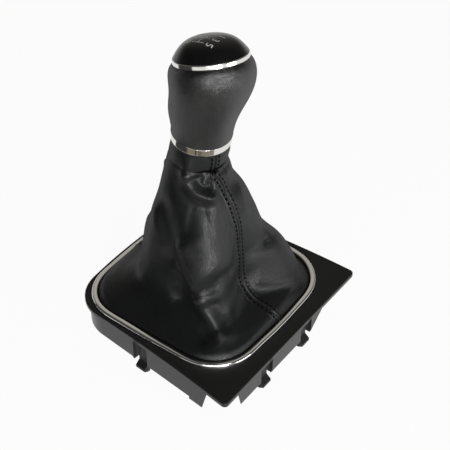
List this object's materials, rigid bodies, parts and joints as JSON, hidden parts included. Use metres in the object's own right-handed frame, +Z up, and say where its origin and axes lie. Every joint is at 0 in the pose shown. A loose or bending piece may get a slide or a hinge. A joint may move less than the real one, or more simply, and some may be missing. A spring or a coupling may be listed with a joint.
{
  "type": "gear shift knob with boot and bezel",
  "caption": "Car gear shift knob with a domed gloss cap and bright rings, on a gathered leather boot that is held in a clip-in console bezel.",
  "frame": {"origin": "under the middle of the bezel, at the tips of its snap hooks", "axes": "+X car right, +Y car front (square end of the bezel), +Z up"},
  "size_m": [0.1474, 0.142, 0.2253],
  "materials": {
    "bezel_plastic": "fine-grained black moulding",
    "bright_trim": "polished bright plating",
    "boot_leather": "soft black grained leather",
    "grip_leather": "satin black fine-grained cover",
    "cap_gloss": "gloss black moulding",
    "core_plastic": "plain black moulding",
    "sleeve_steel": "zinc-plated steel",
    "tie_cord": "black waxed cord"
  },
  "bodies": {
    "frame": {"bezel_plate": "bezel_plastic", "bezel_trim": "bright_trim", "boot_retainer": "bezel_plastic"},
    "boot": {"boot_left_panel": "boot_leather", "boot_right_panel": "boot_leather"},
    "knob": {"knob_core": "core_plastic", "knob_grip": "grip_leather", "knob_cap": "cap_gloss", "knob_upper_ring": "bright_trim", "knob_collar": "bright_trim", "lever_sleeve": "sleeve_steel", "lever_clamp": "sleeve_steel", "boot_tie": "tie_cord"}
  },
  "joints": [
    {"name": "side_lean", "type": "hinge", "parent": "frame", "child": "boot", "pos_m": [0, -0.0211, -0.02], "axis": [0, 1, 0], "range_deg": [-8, 8], "stiffness_Nm_per_rad": 4, "deforming": ["boot_left_panel", "boot_right_panel"]},
    {"name": "shift_lean", "type": "hinge", "parent": "boot", "child": "knob", "pos_m": [0, -0.0211, -0.02], "axis": [1, 0, 0], "range_deg": [-10, 10], "stiffness_Nm_per_rad": 4, "springref_deg": 1.15, "deforming": ["boot_left_panel", "boot_right_panel"]}
  ]
}
